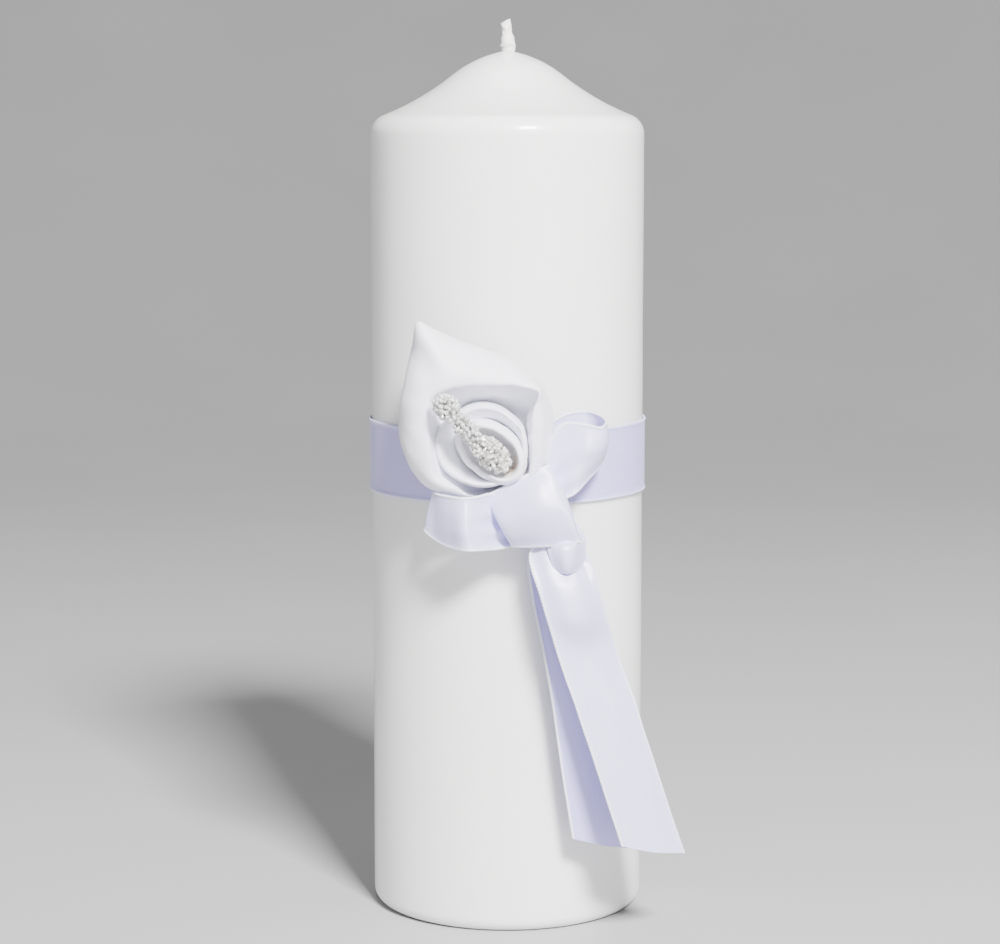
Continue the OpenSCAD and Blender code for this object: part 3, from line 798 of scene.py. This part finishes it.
SPADIX = [np.array(p, float) for p in
          ((-1.2, -41.6, 126.1), (0.4, -48.6, 124.9), (-3.4, -51.2, 127.4), (-7.1, -53.4, 131.7),
           (-10.6, -55.2, 136.2), (-14.6, -56.6, 140.6), (-18.0, -57.0, 143.8))]


def bead_mesh(radius, hole, length, sides=14):
    """One drilled seed bead as a lathe round its hole."""
    outline = []
    for q in np.linspace(-1, 1, 9):
        outline.append((hole + (radius - hole) * max(0, 1 - abs(q) ** 7) ** 0.5, length / 2 * q))
    rim = [(r, z) for r, z in outline] + [(hole * 0.98, length / 2 * 0.8), (hole * 0.98, -length / 2 * 0.8)]
    verts = [v for r, z in rim for v in circle(r, sides, z)]
    # The last ring joins the first one through the hole
    faces = [tuple(f % len(verts) for f in face) for face in ring_faces(len(rim) + 1, sides)]
    return np.array(verts), faces


def make_beads(name, start, end, count, spread_r, mat, seed, size=BEAD_R):
    """Beads scattered round a stretch of the spadix, each turned its own way.

    BEAD_LENGTH and BEAD_SPACING are in bead radii. The tries run out before count is reached, so
    fewer beads are made than count says.
    """
    draw = random.Random(seed)
    axis = (end - start) / np.linalg.norm(end - start)
    side = np.cross(axis, UP)
    side /= np.linalg.norm(side)
    other = np.cross(side, axis)
    placed, verts, faces = [], [], []
    tries = 0
    while len(placed) < count and tries < MOST_TRIES:
        tries += 1
        s = draw.uniform(0.0, 1.0)
        around = draw.uniform(0, 2 * math.pi)
        plump = math.sqrt(max(0.12, math.sin(math.pi * (0.08 + 0.84 * s))))
        reach = spread_r * plump * draw.uniform(0.45, 1.0)
        at = start + (end - start) * s + reach * (math.cos(around) * side + math.sin(around) * other)
        if any(np.linalg.norm(at - p) < BEAD_SPACING * size for p in placed):
            continue
        placed.append(at)
        own, own_faces = bead_mesh(size * draw.uniform(0.84, 0.98), BEAD_HOLE_R, BEAD_LENGTH * size)
        turn = Vector((draw.uniform(-1, 1), draw.uniform(-1, 1), draw.uniform(-1, 1))).to_track_quat("Z", "Y")
        spun = own @ np.array(turn.to_matrix()).T
        base = sum(len(v) for v in verts)
        verts.append(spun + at)
        faces += [tuple(base + f for f in face) for face in own_faces]
    return new_object(name, np.vstack(verts), faces, mat)


def tube(points, radius, sides=8):
    """Vertices and faces of a closed tube along points."""
    pts = np.array(points, float)
    verts = []
    for i, p in enumerate(pts):
        d = pts[min(i + 1, len(pts) - 1)] - pts[max(i - 1, 0)]
        u = np.cross(d, UP + np.array([0.03, 0.02, 0]))
        u /= np.linalg.norm(u)
        w = np.cross(u, d) / np.linalg.norm(d)
        for k in range(sides):
            a = 2 * math.pi * k / sides
            verts.append(p + radius * (math.cos(a) * u + math.sin(a) * w))
    faces = ring_faces(len(pts), sides)
    faces.append(tuple(range(sides - 1, -1, -1)))
    faces.append(tuple((len(pts) - 1) * sides + k for k in range(sides)))
    return verts, faces


def make_spadix_wire(mat):
    """Two fine wires twisted round each other, from the throat to the last bead."""
    centre = spline(SPADIX, np.linspace(0, 1, 120))
    parts = []
    for phase in (0.0, math.pi):
        points = []
        for i, p in enumerate(centre):
            d = centre[min(i + 1, 119)] - centre[max(i - 1, 0)]
            u = np.cross(d, UP)
            u /= np.linalg.norm(u)
            w = np.cross(u, d) / np.linalg.norm(d)
            a = phase + i * 0.45
            points.append(p + 0.17 * (math.cos(a) * u + math.sin(a) * w))
        parts.append(new_object("wire_strand", *tube(points, 0.15), mat))
    return join("spadix_wires", parts)


# ---- camera, light and floor ----

def make_camera():
    data = bpy.data.cameras.new("camera")
    data.lens = CAMERA_LENS
    data.sensor_width = 36
    cam = bpy.data.objects.new("camera", data)
    bpy.context.scene.collection.objects.link(cam)
    cam.location = CAMERA_AT
    cam.rotation_euler = (math.radians(90 - CAMERA_DOWN), 0, 0)
    bpy.context.scene.camera = cam


def area_light(name, place, target, size, power, colour):
    data = bpy.data.lights.new(name, "AREA")
    data.shape = "RECTANGLE"
    data.size, data.size_y = size
    data.energy = power
    data.color = colour
    lamp = bpy.data.objects.new(name, data)
    lamp.location = place
    lamp.rotation_euler = (Vector(target) - Vector(place)).to_track_quat("-Z", "Y").to_euler()
    bpy.context.scene.collection.objects.link(lamp)


def make_lights():
    area_light("key", (0.42, -1.18, 1.15), (0, 0, 0.13), (0.34, 0.3), 114, (1.0, 0.99, 0.98))
    area_light("fill", (-0.8, -1.1, 0.5), (0, 0, 0.12), (0.4, 0.4), 1.6, (0.96, 0.98, 1.0))
    area_light("top", (-0.05, 0.1, 1.25), (0, 0, 0.1), (0.6, 0.6), 5, (1.0, 1.0, 1.0))
    world = bpy.data.worlds.new("studio")
    world.use_nodes = True
    world.node_tree.nodes["Background"].inputs["Color"].default_value = (0.62, 0.64, 0.68, 1)
    world.node_tree.nodes["Background"].inputs["Strength"].default_value = 0.11
    bpy.context.scene.world = world


def make_floor():
    """Pale round floor that sweeps up into a low wall, so that no edge shows behind the candle."""
    mat, tree, shader = material("floor", Roughness=0.6)
    fac = noise_node(tree, coordinates(tree, (1, 1, 1)), 6, 2)
    tree.links.new(ramp(tree, fac, [(0.3, (0.42, 0.42, 0.425)), (0.7, (0.44, 0.44, 0.445))]),
                   shader.inputs["Base Color"])
    flat, cove, wall, sides = 900.0, 1400.0, 200.0, 96
    profile = [(flat * k / 4, 0.0) for k in range(1, 5)]
    profile += [(flat + cove * math.sin(a), cove - cove * math.cos(a))
                for a in np.linspace(0, math.pi / 2, 16)[1:]]
    profile.append((flat + cove, cove + wall))
    verts = [(0.0, 0.0, 0.0)] + [v for r, z in profile for v in circle(r, sides, z)]
    faces = [(0, 1 + k, 1 + (k + 1) % sides) for k in range(sides)]
    # The sweep is seen from inside, so its faces run the other way round
    faces += [face[::-1] for face in ring_faces(len(profile), sides, first=1)]
    new_object("floor", verts, faces, mat)


# ---- build ----

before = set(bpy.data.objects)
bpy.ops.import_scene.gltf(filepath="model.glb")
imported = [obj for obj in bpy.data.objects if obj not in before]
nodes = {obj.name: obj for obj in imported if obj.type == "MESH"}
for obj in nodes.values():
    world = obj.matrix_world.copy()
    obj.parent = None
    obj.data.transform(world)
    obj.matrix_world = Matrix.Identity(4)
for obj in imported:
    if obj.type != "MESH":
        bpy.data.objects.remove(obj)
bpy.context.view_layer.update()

make_camera()
make_lights()
make_floor()

wax = wax_material()
satin = satin_material("satin_ribbon", (0.47, 0.445, 0.86), (0.53, 0.505, 0.89), 0.42, 0.1)
# The bow and the front tail catch more light in the photo than the band does, so their satin is lighter
painted_light_satin = satin_material("painted_light_satin", (0.62, 0.60, 0.93), (0.68, 0.66, 0.95), 0.42, 0.1)
# The selvages are whiter than the satin. This is partly their own woven tone and partly a painted highlight
# along the edges. The band's selvage is a darker copy, painted shade as for the band's satin.
edging = satin_material("selvage_tone_and_painted_highlight", (0.80, 0.79, 0.95), (0.86, 0.85, 0.97), 0.55, 0.1)
band_edging = satin_material("band_selvage", (0.60, 0.58, 0.90), (0.67, 0.65, 0.93), 0.5, 0.1)
petals = petal_material("petal_satin")
cotton = wick_material()
beads_clear = bead_material("clear_beads", (0.99, 0.99, 1.0), (1.0, 0.99, 0.96), 0.38)
beads_warm = bead_material("pale_beads", (1.0, 0.96, 0.84), (1.0, 0.99, 0.93), 0.36)
bright_wire = plain_material("bright_wire", (0.62, 0.62, 0.63), (0.75, 0.75, 0.76), 0.28, 1.0, 1500)

# Pieces that stay as the CAD made them, with their own finishes
KEPT = {
    "wax_core": plain_material("soft_wax", (0.84, 0.81, 0.74), (0.90, 0.88, 0.82), 0.5, 0, 90),
    "wick_core": cotton,
    "wick_clip": plain_material("tinned_sheet", (0.55, 0.55, 0.56), (0.68, 0.68, 0.68), 0.38, 1.0, 500),
    "lap_tape": plain_material("clear_tape", (0.80, 0.77, 0.66), (0.86, 0.84, 0.74), 0.35),
    "binding_wire": bright_wire,
    "glue_band": plain_material("hot_glue", (0.74, 0.70, 0.58), (0.84, 0.81, 0.70), 0.3, 0, 300),
    "stem_wire": plain_material("green_wire", (0.13, 0.22, 0.12), (0.18, 0.30, 0.16), 0.45),
    "stem_tape": plain_material("floral_tape", (0.74, 0.79, 0.68), (0.85, 0.88, 0.80), 0.6, 0, 450),
    "knot_core": plain_material("folded_ribbon", (0.50, 0.48, 0.82), (0.56, 0.54, 0.86), 0.45, 0, 400),
}
KEPT["glue_flower"] = KEPT["glue_band"]
for name, finish in KEPT.items():
    slots = nodes[name].data.materials
    slots.clear()
    slots.append(finish)

pillar = make_pillar(wax)
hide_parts("overdip_coat")
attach(pillar, "candle")

wick = make_wick(cotton)
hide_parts("wick_tip")
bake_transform(wick)

grid, band_length = band_grid()
band = ribbon("ribbon_wrap_band", grid, RIBBON_W, satin, band_edging)
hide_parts("ribbon_band")
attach(band, "wrap")


# By default the pieces take the lighter satin, which is painted light.
def place_ribbon(name, rows, node_names, held, rests_on, width=RIBBON_W, cloth=painted_light_satin, **options):
    """Only a full width of ribbon shows its selvages."""
    edge = edging if width == RIBBON_W else cloth
    piece, length = make_net_ribbon(name, rows, cloth, width, edge, **options)
    if node_names:
        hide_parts(*node_names)
    return piece


loop_right = place_ribbon("bow_loop_right_satin", LOOP_RIGHT, ["bow_loop_right"], "gathered",
                          ["knot_core"], ruck=0.25, seed=3.1, gather=(0.9, 6), both_ends=True)
loop_left = place_ribbon("bow_loop_left_satin", LOOP_LEFT, ["bow_loop_left"], "gathered",
                         ["knot_core"], ruck=0.3, seed=7.7, gather=(1.0, 5), both_ends=True)
wrap = place_ribbon("knot_wrap_satin", WRAP, ["knot_wrap"], "folded", ["knot_core"], ruck=0.2, seed=2.3)
tuck = place_ribbon("knot_tuck_satin", TUCK, ["knot_tuck"], "folded", ["knot_wrap_satin"],
                    width=12.0, ruck=0.2, seed=5.5)
sliver = place_ribbon("knot_fold_satin", SLIVER, [], "folded", ["knot_core"], width=11.0)
for piece in (loop_right, loop_left, wrap, sliver):
    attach(piece, "wrap")
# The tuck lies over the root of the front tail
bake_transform(tuck)

tail_front = place_ribbon("tail_front_satin", TAIL_FRONT, ["tail_front", "tail_root_front"], "hung",
                          ["knot_wrap_satin"], ruck=0.3, seed=9.2, gather=(0.5, 9), crease=(0.86, 1.2, 15))
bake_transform(tail_front)
# The rear tail takes the band's darker satin: painted shade for the shadow of the front tail.
tail_rear = place_ribbon("tail_rear_satin", TAIL_REAR, ["tail_rear", "tail_root_rear"], "hung",
                         ["knot_core"], ruck=0.2, seed=11.4, cloth=satin)
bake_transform(tail_rear)

PETALS = [("spathe_satin", spathe_grid(), "calla_spathe", 0.45),
          ("petal_middle_satin", middle_grid(), "petal_middle", 0.4),
          ("petal_inner_satin", inner_grid(), "petal_inner", 0.4)]
for name, grid, replaced, thickness in PETALS:
    petal = make_petal(name, grid, petals, thickness)
    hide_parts(replaced)
    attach(petal, "wrap")

wires = make_spadix_wire(bright_wire)
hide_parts("spadix_wire")
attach(wires, "wrap")

# Name, ends of the clump as shares of the spadix, most beads, reach, finish, seed, CAD node
CLUMPS = [("beads_tip", 0.80, 0.985, 110, 2.9, beads_clear, 5, "bead_clump_tip"),
          ("beads_middle", 0.55, 0.80, 95, 2.3, beads_clear, 11, "bead_clump_middle"),
          ("beads_base", 0.25, 0.56, 190, 3.4, beads_warm, 23, "bead_clump_base")]
for name, low, high, count, reach, finish, seed, replaced in CLUMPS:
    start, end = spline(SPADIX, [low, high])
    beads = make_beads(name, start, end, count, reach, finish, seed)
    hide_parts(replaced)
    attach(beads, "wrap")
